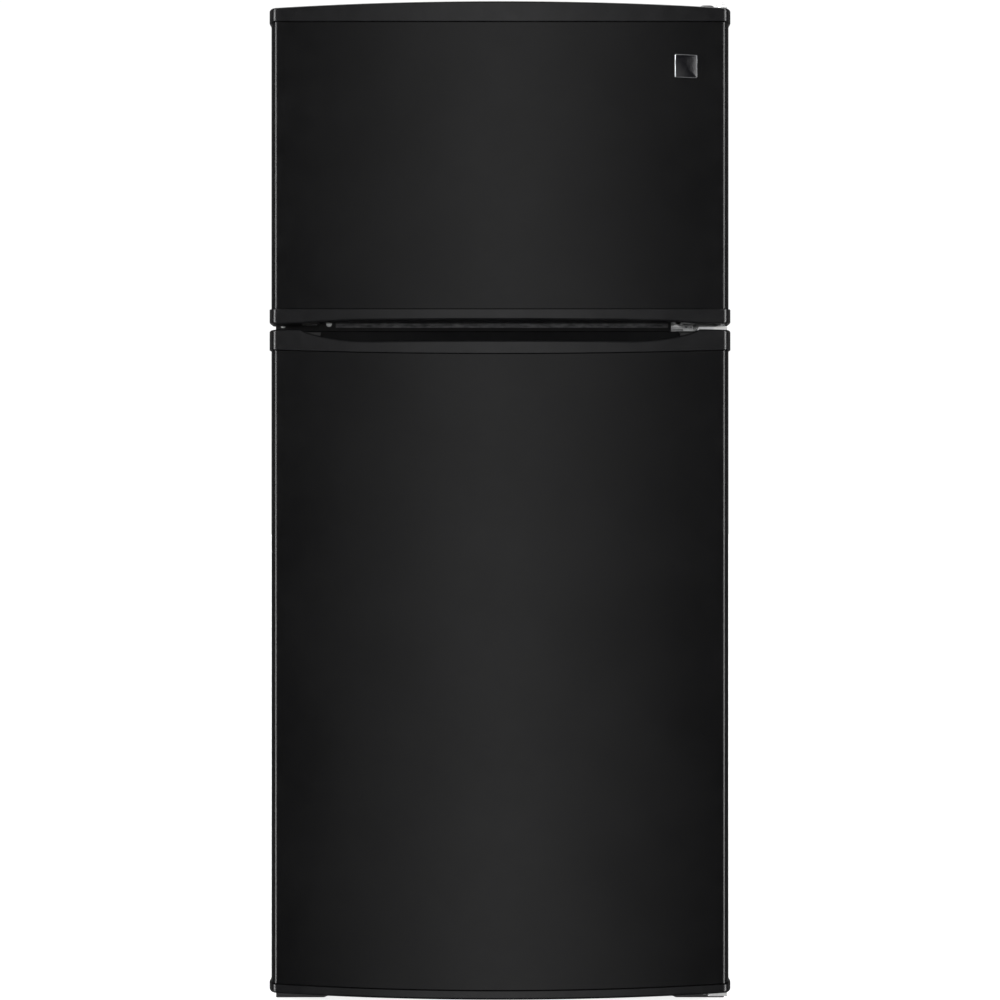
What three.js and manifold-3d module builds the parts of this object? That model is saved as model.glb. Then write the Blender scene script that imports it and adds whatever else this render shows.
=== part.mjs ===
// Top freezer refrigerator with convex doors hinged on the right.
// Millimetres. +X is the user's right, -Y is the front, +Z is up, the floor is z = 0 and the origin is
// the middle of the footprint.
import * as THREE from 'three';
import { mergeVertices } from 'three/addons/utils/BufferGeometryUtils.js';
import Module from 'manifold-3d';

const wasm = await Module();
wasm.setup();

// Driving dimensions
const GAP = 0.3; // clearance between pieces that touch on the real object
const cabinet = { half: 351.5, front: -283, back: 357, base: 40.3, top: 1538, sheet: 1 };
const door = { half: 352.6, edge: -330, crown: -362, rear: -294, corner: 14, sheet: 1 };
const cap = { half: 355.5, edge: -331.5, crown: -363.5, corner: 16, wall: 3, round: 4 };
const fridgeDoor = { bottom: 24, bottomSeam: 38.8, topSeam: [1011.7, 1002.8], top: 1042.5 };
const freezerDoor = { bottom: 1051.3, bottomSeam: [1074.2, 1070], topSeam: [1515.6, 1504.9], top: 1536.5 };
const pocket = { half: 275, inset: 14, rear: -312, depth: 42, lipDrop: 19.5, grooveDepth: 16, lipRise: 2.8 };
const hinge = { x: 342, y: -311, pin: 4, hole: 4.9 };
const room = { half: 297.2, liner: 2, back: 287.7 };
const freezerRoom = { bottom: 1091.8, top: 1488.2 };
const fridgeRoom = { bottom: 91.8, top: 1036.2, stepZ: 267.7, stepY: 78 };
const machine = { front: 130, top: 214 };
const mullion = { bottom: 1043.8, top: 1079.5 };
const roller = { x: 300, y: 300, radius: 20, width: 20, axle: 3 };
const leg = { x: 318, y: -258 };
const shelfHeights = { upper: 790, lower: 540, freezer: 1285 };
const switchAt = { x: 241, z: 998, radius: 6 };

// Materials
const finish = {
  gloss: { color: 0x0c0c0d, roughness: 0.18, metalness: 0.0 },
  black: { color: 0x111112, roughness: 0.45, metalness: 0.0 },
  textured: { color: 0x0e0e0f, roughness: 0.6, metalness: 0.0 },
  zinc: { color: 0xb9bcc0, roughness: 0.35, metalness: 1.0 },
  painted: { color: 0x1a1a1b, roughness: 0.5, metalness: 0.4 },
  white: { color: 0xeceeee, roughness: 0.4, metalness: 0.0 },
  clear: { color: 0xdfe9ea, roughness: 0.1, metalness: 0.0, transparent: true, opacity: 0.4 },
  foam: { color: 0xe8d9a8, roughness: 0.9, metalness: 0.0 },
  seal: { color: 0x222222, roughness: 0.7, metalness: 0.0 },
  aluminium: { color: 0xc4c8cb, roughness: 0.4, metalness: 1.0 },
  chrome: { color: 0xd8dadc, roughness: 0.12, metalness: 1.0 },
  copper: { color: 0x4a3a30, roughness: 0.45, metalness: 0.6 },
};

// Shape helpers. Every helper returns a closed manifold solid.
const solid = (geometry) => {
  const plain = geometry.clone();
  plain.deleteAttribute('normal');
  plain.deleteAttribute('uv');
  const merged = mergeVertices(plain, 1e-4);
  const position = merged.attributes.position;
  const point = (i) => new THREE.Vector3().fromBufferAttribute(position, i);
  const faces = [];
  let volume = 0;
  for (let i = 0; i < merged.index.count; i += 3) {
    const face = [0, 1, 2].map((k) => merged.index.getX(i + k));
    if (new Set(face).size < 3) continue;
    const [a, b, c] = face.map(point);
    volume += a.dot(b.cross(c));
    faces.push(face);
  }
  const triVerts = Uint32Array.from(faces.flatMap((f) => (volume < 0 ? [f[0], f[2], f[1]] : f)));
  const vertProperties = Float32Array.from(position.array);
  return new wasm.Manifold(new wasm.Mesh({ numProp: 3, vertProperties, triVerts }));
};

const box = ([x0, x1], [y0, y1], [z0, z1]) => {
  const geometry = new THREE.BoxGeometry(x1 - x0, y1 - y0, z1 - z0);
  return solid(geometry.translate((x0 + x1) / 2, (y0 + y1) / 2, (z0 + z1) / 2));
};

const AXES = {
  x: new THREE.Matrix4().set(0, 0, 1, 0, 1, 0, 0, 0, 0, 1, 0, 0, 0, 0, 0, 1),
  y: new THREE.Matrix4().set(1, 0, 0, 0, 0, 0, -1, 0, 0, 1, 0, 0, 0, 0, 0, 1),
  z: new THREE.Matrix4(),
};

/** A straight bar of the outline: (y, z) points along x, (x, z) points along y, (x, y) points along z. */
const prism = (outline, axis, [from, to], round = 0) => {
  const shape = new THREE.Shape(outline.map(([u, v]) => new THREE.Vector2(u, v)));
  const geometry = new THREE.ExtrudeGeometry(shape, {
    depth: to - from - 2 * round,
    bevelEnabled: round > 0,
    bevelThickness: round,
    bevelSize: round,
    bevelOffset: -round,
    bevelSegments: 2,
  });
  geometry.translate(0, 0, round);
  geometry.applyMatrix4(AXES[axis]);
  const start = { x: [from, 0, 0], y: [0, to, 0], z: [0, 0, from] }[axis];
  return solid(geometry.translate(...start));
};

/** A turned solid: (radius, height) points that start and end on the axis. */
const turned = (profile, axis, [x, y, z], segments = 24) => {
  const geometry = new THREE.LatheGeometry(profile.map(([r, h]) => new THREE.Vector2(r, h)), segments);
  if (axis === 'z') geometry.rotateX(Math.PI / 2);
  if (axis === 'x') geometry.rotateZ(-Math.PI / 2);
  return solid(geometry.translate(x, y, z));
};

const rod = (radius, axis, centre, [from, to], segments = 24) =>
  turned([[0, from], [radius, from], [radius, to], [0, to]], axis, centre, segments);

const join = (...solids) => solids.reduce((whole, next) => whole.add(next));

const cut = (whole, ...tools) => tools.reduce((rest, tool) => rest.subtract(tool), whole);

/** A sheet or tray: the outer box less an inner one. */
const hollow = (outer, inner) => cut(box(...outer), box(...inner));

const group = new THREE.Group();
const add = (name, shape, look) => {
  const mesh = shape.getMesh();
  const geometry = new THREE.BufferGeometry();
  geometry.setAttribute('position', new THREE.BufferAttribute(mesh.vertProperties, 3));
  geometry.setIndex(new THREE.BufferAttribute(mesh.triVerts, 1));
  geometry.computeVertexNormals();
  const node = new THREE.Mesh(geometry, new THREE.MeshStandardMaterial(finish[look]));
  node.name = name;
  group.add(node);
};

// Door outlines
/** Height of the front face above its crown line at x, for a convex front. */
const bow = ({ half, edge, crown }) => {
  const sagitta = edge - crown;
  const radius = (half * half + sagitta * sagitta) / (2 * sagitta);
  return (x) => crown + radius - Math.sqrt(radius * radius - x * x);
};

/** Plan of a door or of its end cap, set in by the wall thickness. */
const doorPlan = (size, inset = 0, rear = door.rear, steps = 16) => {
  const front = bow(size);
  const half = size.half - inset;
  const corner = size.corner - Math.min(inset, size.corner - 4);
  const flat = half - corner;
  const centreY = front(flat) + inset + corner;
  const points = [];
  for (let i = 0; i <= steps; i++) {
    const x = -flat + (2 * flat * i) / steps;
    points.push([x, front(x) + inset]);
  }
  for (let i = 1; i <= 4; i++) {
    const turn = -Math.PI / 2 + (i * Math.PI) / 8;
    points.push([flat + corner * Math.cos(turn), centreY + corner * Math.sin(turn)]);
  }
  points.push([half, rear], [-half, rear]);
  for (let i = 0; i < 4; i++) {
    const turn = Math.PI + (i * Math.PI) / 8;
    points.push([-flat + corner * Math.cos(turn), centreY + corner * Math.sin(turn)]);
  }
  return points;
};

/** A seam that runs from one height at the sides to another in the middle. */
const seamCurve = (seam) => {
  const [side, middle] = Array.isArray(seam) ? seam : [seam, seam];
  return (x) => middle + (side - middle) * Math.min(1, (x / door.half) ** 2);
};

/** All that lies above (up = 1) or below (up = -1) a curve seen from the front. */
const beyond = (curve, up, y = [-400, -250], steps = 16) => {
  const points = [];
  for (let i = 0; i <= steps; i++) {
    const x = -400 + (800 * i) / steps;
    points.push([x, curve(x)]);
  }
  const far = up > 0 ? 1800 : -200;
  return prism([...points, [400, far], [-400, far]], 'y', y);
};

const span = (a, b) => [Math.min(a, b), Math.max(a, b)];

// Doors
/** Folded sheet that forms the front and sides of a door, with narrow flanges behind. */
function doorSkin(low, high) {
  const outer = prism(doorPlan(door), 'z', [0, 1540]);
  const inner = prism(doorPlan(door, door.sheet, door.rear - door.sheet), 'z', [-5, 1545]);
  const opening = box([-330, 330], [-300, -290], [-5, 1545]);
  const seams = { low: seamCurve(low), high: seamCurve(high) };
  return cut(outer, inner, opening,
    beyond((x) => seams.low(x) + GAP / 2, -1), beyond((x) => seams.high(x) - GAP / 2, 1));
}

/** Thin end cap: a plate at z = face and a wall that meets the skin at the seam. */
function endCap(face, seam, up) {
  const deep = face - up * 60;
  const curve = seamCurve(seam);
  const outer = prism(doorPlan(cap), 'z', span(face, deep), cap.round);
  const inner = prism(doorPlan(cap, cap.wall, door.rear - cap.wall), 'z',
    span(face - up * cap.wall, deep - up));
  return cut(outer, inner, beyond((x) => curve(x) + up * (GAP / 2), -up));
}

/** Plan of the finger pocket behind the front lip of an end cap. */
const pocketPlan = (grow) => {
  const front = bow(cap);
  const half = pocket.half + grow;
  const points = [];
  for (let i = 0; i <= 12; i++) {
    const x = -half + (2 * half * i) / 12;
    points.push([x, front(x) + pocket.inset - grow]);
  }
  return [...points, [half, pocket.rear + grow], [-half, pocket.rear + grow]];
};

/** End cap with a finger pocket: its front lip is stepped away from the plate between two soft ends. */
function handleCap(face, seam, up, depth, step) {
  const deep = face - up * 60;
  const curve = seamCurve(seam);
  const lip = (x) => {
    const t = Math.min(1, Math.max(0, (305 - Math.abs(x)) / 105));
    return face - up * step * Math.sin((Math.PI / 2) * t) ** 0.7;
  };
  const floor = face - up * depth;
  const wall = cap.wall;
  const bowl = prism(pocketPlan(wall), 'z', span(face, floor - up * wall));
  const outer = cut(prism(doorPlan(cap), 'z', span(face, deep), cap.round),
    beyond((x) => curve(x) + up * (GAP / 2), -up));
  const inside = cut(
    prism(doorPlan(cap, wall, door.rear - wall), 'z', span(face - up * wall, deep - up)),
    beyond((x) => lip(x) - up * wall, up, [-400, pocket.rear + wall], 40), bowl);
  return cut(join(outer, bowl), inside,
    beyond(lip, up, [-400, pocket.rear], 40), prism(pocketPlan(0), 'z', span(floor, face + up * 20)));
}

const pinHole = (z) => rod(hinge.hole, 'z', [hinge.x, hinge.y, 0], z);

/** Moulded inner face of a door: a plate with a hollow raised frame that carries the shelves. */
function doorLiner([z0, z1], [frame0, frame1]) {
  const plate = box([-346, 346], [-293.7, -291.7], [z0, z1]);
  const ring = hollow([[-282, 282], [-293.7, -235], [frame0, frame1]],
    [[-252, 252], [-300, -230], [frame0 + 30, frame1 - 30]]);
  const core = hollow([[-279.5, 279.5], [-300, -237.5], [frame0 + 2.5, frame1 - 2.5]],
    [[-254.5, 254.5], [-305, -230], [frame0 + 27.5, frame1 - 27.5]]);
  return cut(join(plate, ring), core);
}

const gasket = ([z0, z1]) => hollow([[-344, 344], [-291.4, -283.7], [z0, z1]],
  [[-324, 324], [-295, -280], [z0 + 20, z1 - 20]]);

/** Open shelf that hangs between the liner's side ridges. */
const doorBin = (z, height, front) => hollow([[-251, 251], [-291.4, front], [z, z + height]],
  [[-248.5, 248.5], [-288.9, front - 2.5], [z + 2.5, z + height + 5]]);

const freezerCaps = {
  top: endCap(freezerDoor.top, freezerDoor.topSeam, 1),
  bottom: handleCap(freezerDoor.bottom, freezerDoor.bottomSeam, -1, pocket.grooveDepth, pocket.lipRise),
};
const fridgeCaps = {
  top: handleCap(fridgeDoor.top, fridgeDoor.topSeam, 1, pocket.depth, pocket.lipDrop),
  bottom: endCap(fridgeDoor.bottom, fridgeDoor.bottomSeam, -1),
};
/** Foam that fills a skin between its two seams, less the room for the finger pocket. */
const doorFoam = (low, high, pocketFloor = 2000) => cut(
  prism(doorPlan(door, door.sheet + GAP, door.rear - door.sheet - GAP), 'z', [-5, 1545]),
  beyond((x) => seamCurve(low)(x) + 1, -1), beyond((x) => seamCurve(high)(x) - 1, 1),
  box([-280, 280], [-355, pocket.rear + 5], [pocketFloor, pocketFloor + 200]));

add('freezer_door_skin', doorSkin(freezerDoor.bottomSeam, freezerDoor.topSeam), 'gloss');
add('freezer_door_top_cap', cut(freezerCaps.top, pinHole([1520, 1560])), 'black');
add('freezer_door_bottom_cap', cut(freezerCaps.bottom, pinHole([1040, 1062])), 'black');
add('freezer_door_foam', doorFoam(freezerDoor.bottomSeam, freezerDoor.topSeam), 'foam');
add('freezer_door_liner', doorLiner([1060, 1528], [1108, 1472]), 'white');
add('freezer_door_gasket', gasket([1062, 1524]), 'seal');
add('freezer_door_shelf', doorBin(1190, 72, -212), 'white');

add('fridge_door_skin', doorSkin(fridgeDoor.bottomSeam, fridgeDoor.topSeam), 'gloss');
add('fridge_door_top_cap', cut(fridgeCaps.top, pinHole([1030, 1060])), 'black');
add('fridge_door_bottom_cap', cut(fridgeCaps.bottom, pinHole([0, 36])), 'black');
add('fridge_door_foam', doorFoam(fridgeDoor.bottomSeam, fridgeDoor.topSeam, 996), 'foam');
add('fridge_door_liner', doorLiner([34, 1034], [108, 1010]), 'white');
add('fridge_door_gasket', gasket([50, 1032]), 'seal');
add('door_bin_lower', doorBin(150, 95, -206), 'clear');
add('door_bin_middle', doorBin(520, 85, -206), 'clear');

// Dairy tray at the top of the fridge door, closed by a flap that swings up on its top edge
const dairy = { z: [896, 976], front: -213, flapY: [-212, -209.5], pivotZ: 972 };
add('dairy_tray', hollow([[-251, 251], [-291.4, dairy.front], dairy.z],
  [[-248.5, 248.5], [-288.9, dairy.front + 5], [dairy.z[0] + 2.5, dairy.z[1] - 2.5]]), 'clear');
add('dairy_flap', join(box([-246, 246], dairy.flapY, [902, 974]),
  box([-60, 60], [-209.7, -203], [902, 905])), 'clear');

// Badge: a rounded square plate with a raised rim, set on the curve of the freezer door
const badge = { x: 283.3, z: 1443.2, size: 36, corner: 3.5, rim: 2 };
const roundedSquare = (size, corner) => {
  const points = [];
  for (let side = 0; side < 4; side++) {
    for (let i = 0; i <= 3; i++) {
      const turn = (side + i / 3) * (Math.PI / 2);
      const [sx, sz] = [[1, 1], [-1, 1], [-1, -1], [1, -1]][side];
      const at = size / 2 - corner;
      points.push([sx * at + corner * Math.cos(turn), sz * at + corner * Math.sin(turn)]);
    }
  }
  return points;
};
const badgeY = bow(door)(badge.x);
const badgeLean = THREE.MathUtils.radToDeg(Math.atan2(bow(door)(badge.x + 1) - badgeY, 1));
const badgeRim = cut(prism(roundedSquare(badge.size, badge.corner), 'y', [-2.3, -GAP]),
  prism(roundedSquare(badge.size - 2 * badge.rim, badge.corner - 1), 'y', [-3, -1.3]));
add('badge', badgeRim.rotate([0, 0, badgeLean]).translate([badge.x, badgeY, badge.z]), 'chrome');

// Cabinet
/** Side and front outline of the fridge room, which steps forward over the machine compartment. */
const fridgeSection = (grow) => [
  [-300, fridgeRoom.bottom - grow], [fridgeRoom.stepY + grow, fridgeRoom.bottom - grow],
  [fridgeRoom.stepY + grow, fridgeRoom.stepZ - grow], [room.back + grow, fridgeRoom.stepZ - grow],
  [room.back + grow, fridgeRoom.top + grow], [-300, fridgeRoom.top + grow],
];
const fridgeVoid = (grow) => prism(fridgeSection(grow), 'x', [-room.half - grow, room.half + grow]);
const freezerVoid = (grow) => box([-room.half - grow, room.half + grow], [-300, room.back + grow],
  [freezerRoom.bottom - grow, freezerRoom.top + grow]);
const inFront = box([-400, 400], [-400, cabinet.front], [-10, 1600]);
const inner = cabinet.half - cabinet.sheet;
const flangeBack = cabinet.front + cabinet.sheet;

const wrapper = cut(
  box([-cabinet.half, cabinet.half], [cabinet.front, cabinet.back], [cabinet.base, cabinet.top]),
  box([-inner, inner], [flangeBack, cabinet.back + 5], [cabinet.base - 5, cabinet.top - cabinet.sheet]),
  box([-310, 310], [cabinet.front - 5, 0], [80, 1504]));
const mullionStrip = box([-311, 311], [cabinet.front, flangeBack], [mullion.bottom, mullion.top]);
add('cabinet_shell', join(wrapper, mullionStrip), 'painted');

// Foam between the sheet and the liners, as panels that meet in plain joints
const skinDepth = room.liner + GAP;
const foam = {
  outer: inner - GAP, wall: room.half + skinDepth, front: flangeBack + GAP, back: room.back + skinDepth,
  low: cabinet.base + 1.5, high: cabinet.top - cabinet.sheet - GAP,
};
const foamAcross = [-foam.wall + GAP, foam.wall - GAP];
const foamDeep = [foam.front, foam.back - GAP];
const machineRoom = box([-400, 400], [machine.front, 400], [0, machine.top]);
for (const [side, name] of [[-1, 'left'], [1, 'right']]) {
  add(`foam_${name}`, cut(box(span(side * foam.wall, side * foam.outer), [foam.front, cabinet.back],
    [foam.low, foam.high]), machineRoom), 'foam');
}
add('foam_rear', join(box(foamAcross, [foam.back, cabinet.back], [machine.top, foam.high]),
  box(foamAcross, [foam.front, foam.back + 1], [freezerRoom.top + skinDepth, foam.high])), 'foam');
add('foam_mullion',
  box(foamAcross, foamDeep, [fridgeRoom.top + skinDepth, freezerRoom.bottom - skinDepth]), 'foam');
add('foam_floor', cut(box(foamAcross, foamDeep, [foam.low, fridgeRoom.stepZ - skinDepth]),
  fridgeVoid(skinDepth), machineRoom), 'foam');

/** Thin liner of a room with a flange around its mouth and ledges for its shelves. */
function linerOf(outerVoid, innerVoid, [flange0, flange1], shelves) {
  const flange = box([-309.5, 309.5], [cabinet.front, flangeBack], [flange0, flange1]);
  const ledges = shelves.flatMap(([z, ...reach]) => [-1, 1].map((side) =>
    box(span(side * (room.half - 8), side * (room.half + 1)), reach, [z - 8, z - GAP])));
  return join(cut(join(cut(outerVoid, inFront), flange), innerVoid), ...ledges);
}
add('freezer_liner', linerOf(freezerVoid(room.liner), freezerVoid(0),
  [mullion.top + GAP, 1503.5], [[shelfHeights.freezer, -120, 200]]), 'white');
add('fridge_liner', linerOf(fridgeVoid(room.liner), fridgeVoid(0),
  [80.5, mullion.bottom - GAP],
  [[shelfHeights.upper, -170, 230], [shelfHeights.lower, -170, 230], [270, -170, 60]]), 'white');

// The rear panel's upright ribs keep the cabinet off the wall
const ribs = [-280, -100, 100, 280].map((x) => box([x - 12, x + 12], [357.3, 363.5], [260, 1490]));
add('rear_panel', join(box([-351, 351], [357.3, 358.3], [216, 1537.5]), ...ribs), 'painted');

/** Roller bracket below the base pan: two cheeks with the axle between them. */
const rollerBracket = (side) => {
  const x = side * roller.x;
  const cheeks = [-12, 12].map((off) => box([x + off - 1, x + off + 1], [282, 318], [10, 41]));
  return join(...cheeks, rod(roller.axle, 'x', [x, roller.y, roller.radius], [-12, 12], 16));
};
const pan = box([-350.2, 350.2], [flangeBack + GAP, 356.7], [cabinet.base, cabinet.base + 1.2]);
const condenserMotor = join(rod(24, 'x', [0, 245, 128], [22, 50]),
  rod(4, 'x', [0, 245, 128], [12, 24], 12), box([38, 48], [235, 255], [cabinet.base + 0.5, 120]));
add('base_pan', join(pan, rollerBracket(-1), rollerBracket(1), condenserMotor), 'zinc');

// Freezer room
const shelfRods = [-1, 1].map((s) => box(span(s * 292, s * 296.2), [-118, 198], [1285, 1289]));
for (const y of [-118, 40, 194]) shelfRods.push(box([-294, 294], [y, y + 4], [1285, 1289]));
for (let i = -11; i <= 11; i++) shelfRods.push(box([i * 25 - 1.5, i * 25 + 1.5], [-117, 197], [1288, 1291]));
add('freezer_shelf', join(...shelfRods), 'white');

const airSlots = [];
for (let i = -4; i <= 4; i++) {
  for (const z of [1115, 1440]) airSlots.push(box([i * 50 - 18, i * 50 + 18], [200, 230], [z, z + 7]));
}
const evaporatorFan = { x: 0, y: 232, z: 1400 };
const evaporatorMotor = join(
  rod(22, 'y', [evaporatorFan.x, 0, evaporatorFan.z], [258, 285]),
  rod(4, 'y', [evaporatorFan.x, 0, evaporatorFan.z], [248.6, 260], 12),
  box([-90, 90], [283, 286.5], [1392, 1408]),
  ...[-88, 88].map((x) => box([x - 2, x + 2], [214, 284], [1392, 1408])));
add('evaporator_cover', join(cut(box([-296.6, 296.6], [212, 215], [1092.3, 1487.7]), ...airSlots),
  evaporatorMotor), 'white');

const fins = [];
for (let i = -7; i <= 7; i++) fins.push(box([i * 34 - 0.8, i * 34 + 0.8], [224, 276], [1118, 1330]));
const passes = [1135, 1175, 1215, 1255, 1295].map((z) => box([-255, 255], [245, 255], [z, z + 10]));
const bends = [1135, 1175, 1215, 1255].map((z, i) =>
  box(i % 2 ? [245, 255] : [-255, -245], [245, 255], [z, z + 50]));
add('evaporator', join(...fins, ...passes, ...bends), 'aluminium');

/** Axial fan: a hub with pitched blades, with its shaft hole at the back. */
function fanWheel(radius, hub, depth, blades) {
  const parts = [turned([[0, 0], [hub, 0], [hub, depth], [0, depth]], 'y', [0, 0, 0], 20)];
  for (let i = 0; i < blades; i++) {
    const blade = box([hub * 0.7, radius], [-1, 1], [-radius * 0.3, radius * 0.3]);
    parts.push(blade.rotate([58, 0, 0]).translate([0, depth / 2, 0]).rotate([0, (360 / blades) * i, 0]));
  }
  return join(...parts);
}
add('evaporator_fan', fanWheel(46, 14, 16, 5)
  .translate([evaporatorFan.x, evaporatorFan.y, evaporatorFan.z]), 'black');

// Fridge room
/** Shelf frame with a rebate, and the glass that lies in it. */
function shelf(z, front, back) {
  const frame = cut(hollow([[-296.4, 296.4], [front, back], [z, z + 14]],
    [[-276, 276], [front + 20, back - 20], [z - 5, z + 20]]),
    box([-284, 284], [front + 12, back - 12], [z + 9, z + 20]));
  const glass = box([-283.6, 283.6], [front + 12.4, back - 12.4], [z + 9.3, z + 13.3]);
  return { frame, glass };
}
for (const [name, z] of [['upper_shelf', shelfHeights.upper], ['lower_shelf', shelfHeights.lower]]) {
  const pieces = shelf(z, -175, 235);
  add(`${name}_frame`, pieces.frame, 'white');
  add(`${name}_glass`, pieces.glass, 'clear');
}
add('crisper_cover', join(box([-296.4, 296.4], [-188, 283], [270, 275]),
  box([-296.4, 296.4], [-193, -186], [266, 277])), 'clear');

/** Vegetable drawer: an open tray with a finger lip on its front. */
const crisper = ([x0, x1]) => join(
  hollow([[x0, x1], [-190, 68], [93, 252]], [[x0 + 3, x1 - 3], [-187, 65], [96, 260]]),
  box([x0 + 40, x1 - 40], [-199, -188], [236, 240]));
add('crisper_left', crisper([-285, -4]), 'clear');
add('crisper_right', crisper([4, 285]), 'clear');

// Controls and lamp under the ceiling of the fridge room
const housing = hollow([[-170, 262], [-150, -90], [986, 1035.8]], [[-167, 259], [-147, -93], [989, 1040]]);
const barrel = box([switchAt.x - 12, switchAt.x + 12], [-212, -146], [switchAt.z - 12, switchAt.z + 12]);
add('control_housing', cut(join(housing, barrel),
  rod(switchAt.radius + 0.5, 'y', [switchAt.x, 0, switchAt.z], [-220, -156]),
  rod(5.5, 'y', [0, 0, 1010], [-155, -140])), 'white');
add('temperature_knob', join(rod(22, 'y', [0, 0, 1010], [-162, -150.5], 32),
  rod(4.5, 'y', [0, 0, 1010], [-152, -142]), box([-3, 3], [-172, -160], [990, 1030])), 'white');
add('light_switch_button', join(rod(switchAt.radius, 'y', [switchAt.x, 0, switchAt.z], [-231.4, -163.4]),
  turned([[0, -2.6], [3, -2.2], [switchAt.radius, 0], [0, 0]], 'y',
    [switchAt.x, -231.4, switchAt.z])), 'white');
add('light_shield',
  hollow([[-80, 80], [-50, 50], [980, 1035.8]], [[-78, 78], [-48, 48], [982, 1040]]), 'clear');
add('light_bulb', turned(
  [[0, -62], [17, -62], [17, -40], [13, -38], [13, -24], [19, -10], [21, 6], [18, 20], [10, 29], [0, 32]],
  'x', [0, 0, 1010]), 'clear');

// Hinges
const hingePin = (z) => rod(hinge.pin, 'z', [hinge.x, hinge.y, 0], z);
const topPlate = cabinet.top + GAP;
add('top_hinge', join(box([312, 350], [-262, -222], [topPlate, topPlate + 3]),
  prism([[326, -260], [326, -300], [334, -320], [350, -320], [350, -260]], 'z', [topPlate, topPlate + 3]),
  hingePin([1524, topPlate + 2]), rod(6.5, 'z', [hinge.x, hinge.y, 0], [topPlate + 2, 1549], 6)), 'zinc');
add('top_hinge_cover', cut(
  prism([[309, -300], [337, -300], [337, -216], [309, -216]], 'z', [topPlate + 3.3, 1554], 4),
  box([312, 334], [-297, -219], [1530, 1551])), 'black');
const armZ = [1042.9, 1047.9];
add('centre_hinge', join(box([268, 350], [-286.3, -283.3], [1036, 1059]),
  prism([[302, -284], [302, -318], [306, -322], [350, -322], [350, -284]], 'z', armZ),
  hingePin([1026, 1062]), rod(6.5, 'z', [hinge.x, hinge.y, 0], [armZ[1] - 1, armZ[1] + 1.2])), 'zinc');
add('bottom_hinge', join(box([292, 350], [-286.3, -283.3], [14, 48]),
  prism([[300, -284], [300, -300], [322, -322], [350, -322], [350, -284]], 'z', [16.5, 21.5]),
  hingePin([18, 34])), 'zinc');

// Feet, rollers and toe grille
for (const [side, name] of [[-1, 'left'], [1, 'right']]) {
  const outline = [[262, 7], [276, 1], [351.2, 1], [351.2, 39.8], [262, 39.8]].map(([x, z]) => [side * x, z]);
  add(`foot_cover_${name}`, cut(prism(outline, 'y', [-283, -232]),
    box(span(side * 266, side * 348), [-280, -236], [9, 37]),
    box(span(side * 280, side * 348), [-280, -236], [-5, 37])), 'black');
  add(`levelling_leg_${name}`, join(
    turned([[0, 0], [15, 0], [15, 4], [9, 8], [0, 8]], 'z', [side * leg.x, leg.y, 0], 32),
    rod(9, 'z', [side * leg.x, leg.y, 0], [7, 13], 6),
    rod(5, 'z', [side * leg.x, leg.y, 0], [12, 36])), 'black');
  add(`rear_roller_${name}`, cut(
    rod(roller.radius, 'x', [side * roller.x, roller.y, roller.radius], [-10, 10], 32),
    rod(roller.axle + 0.6, 'x', [side * roller.x, roller.y, roller.radius], [-12, 12], 16)), 'black');
}
const louvres = [];
for (const z of [14, 21, 28]) {
  for (let i = 0; i < 6; i++) louvres.push(box([-249 + i * 84, -171 + i * 84], [-290, -270], [z, z + 3.5]));
}
add('toe_grille', cut(box([-261.5, 261.5], [-283, -276], [9, 39.8]), ...louvres), 'textured');

// Machine compartment
const shell = turned(
  [[0, 0], [58, 0], [76, 14], [80, 52], [84, 54], [84, 60], [80, 62], [76, 92], [52, 120], [0, 128]],
  'z', [0, 0, 0], 24).scale([1, 0.8, 1]);
add('compressor', join(shell.translate([-190, 245, 52]), box([-290, -90], [190, 300], [48, 52.5]),
  ...[[-280, 200], [-280, 290], [-100, 200], [-100, 290]].map(
    ([x, y]) => rod(9, 'z', [x, y, 0], [41.8, 49], 12)),
  box([-150, -104], [225, 265], [80, 120])), 'painted');

const coilPath = new THREE.CurvePath();
const coil = { x: [90, 300], y: [170, 326], z: 84, radius: 3.2, pitch: 26 };
for (let i = 0, y = coil.y[0]; y <= coil.y[1]; i++, y += coil.pitch) {
  const [from, to] = i % 2 ? [coil.x[1], coil.x[0]] : coil.x;
  coilPath.add(new THREE.LineCurve3(new THREE.Vector3(from, y, coil.z), new THREE.Vector3(to, y, coil.z)));
  if (y + coil.pitch > coil.y[1]) break;
  const bulge = to + (i % 2 ? -1 : 1) * coil.pitch * 0.66;
  coilPath.add(new THREE.CubicBezierCurve3(
    new THREE.Vector3(to, y, coil.z), new THREE.Vector3(bulge, y, coil.z),
    new THREE.Vector3(bulge, y + coil.pitch, coil.z), new THREE.Vector3(to, y + coil.pitch, coil.z)));
}
const coilSection = new THREE.Shape();
coilSection.absarc(0, 0, coil.radius, 0, 2 * Math.PI);
add('condenser_coil', solid(new THREE.ExtrudeGeometry(coilSection,
  { steps: 110, curveSegments: 4, bevelEnabled: false, extrudePath: coilPath })), 'copper');
add('drain_pan', hollow([[60, 335], [140, 352], [42, 72]], [[63, 332], [143, 349], [45, 80]]), 'textured');
add('condenser_fan', fanWheel(60, 17, 18, 5).rotate([0, 0, -90]).translate([-7, 245, 128]), 'black');

const vents = [];
for (const z of [70, 90, 110, 130, 150, 170, 190]) {
  for (let i = 0; i < 7; i++) vents.push(box([-322 + i * 94, -246 + i * 94], [350, 370], [z, z + 8]));
}
const cordGland = cut(rod(9, 'y', [-320, 0, 60], [358, 363.5]), rod(4, 'y', [-320, 0, 60], [361, 370], 16));
add('compressor_cover', join(
  cut(box([-346, 346], [357.3, 358.3], [44, 215]), ...vents.filter((_, i) => i !== 0)),
  cordGland), 'painted');

export default group;
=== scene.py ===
"""Looks of a top freezer refrigerator with convex black doors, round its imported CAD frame.

Metres, +Z up, the doors face -Y. Places come from the CAD nodes' boxes.
"""
import math

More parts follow.
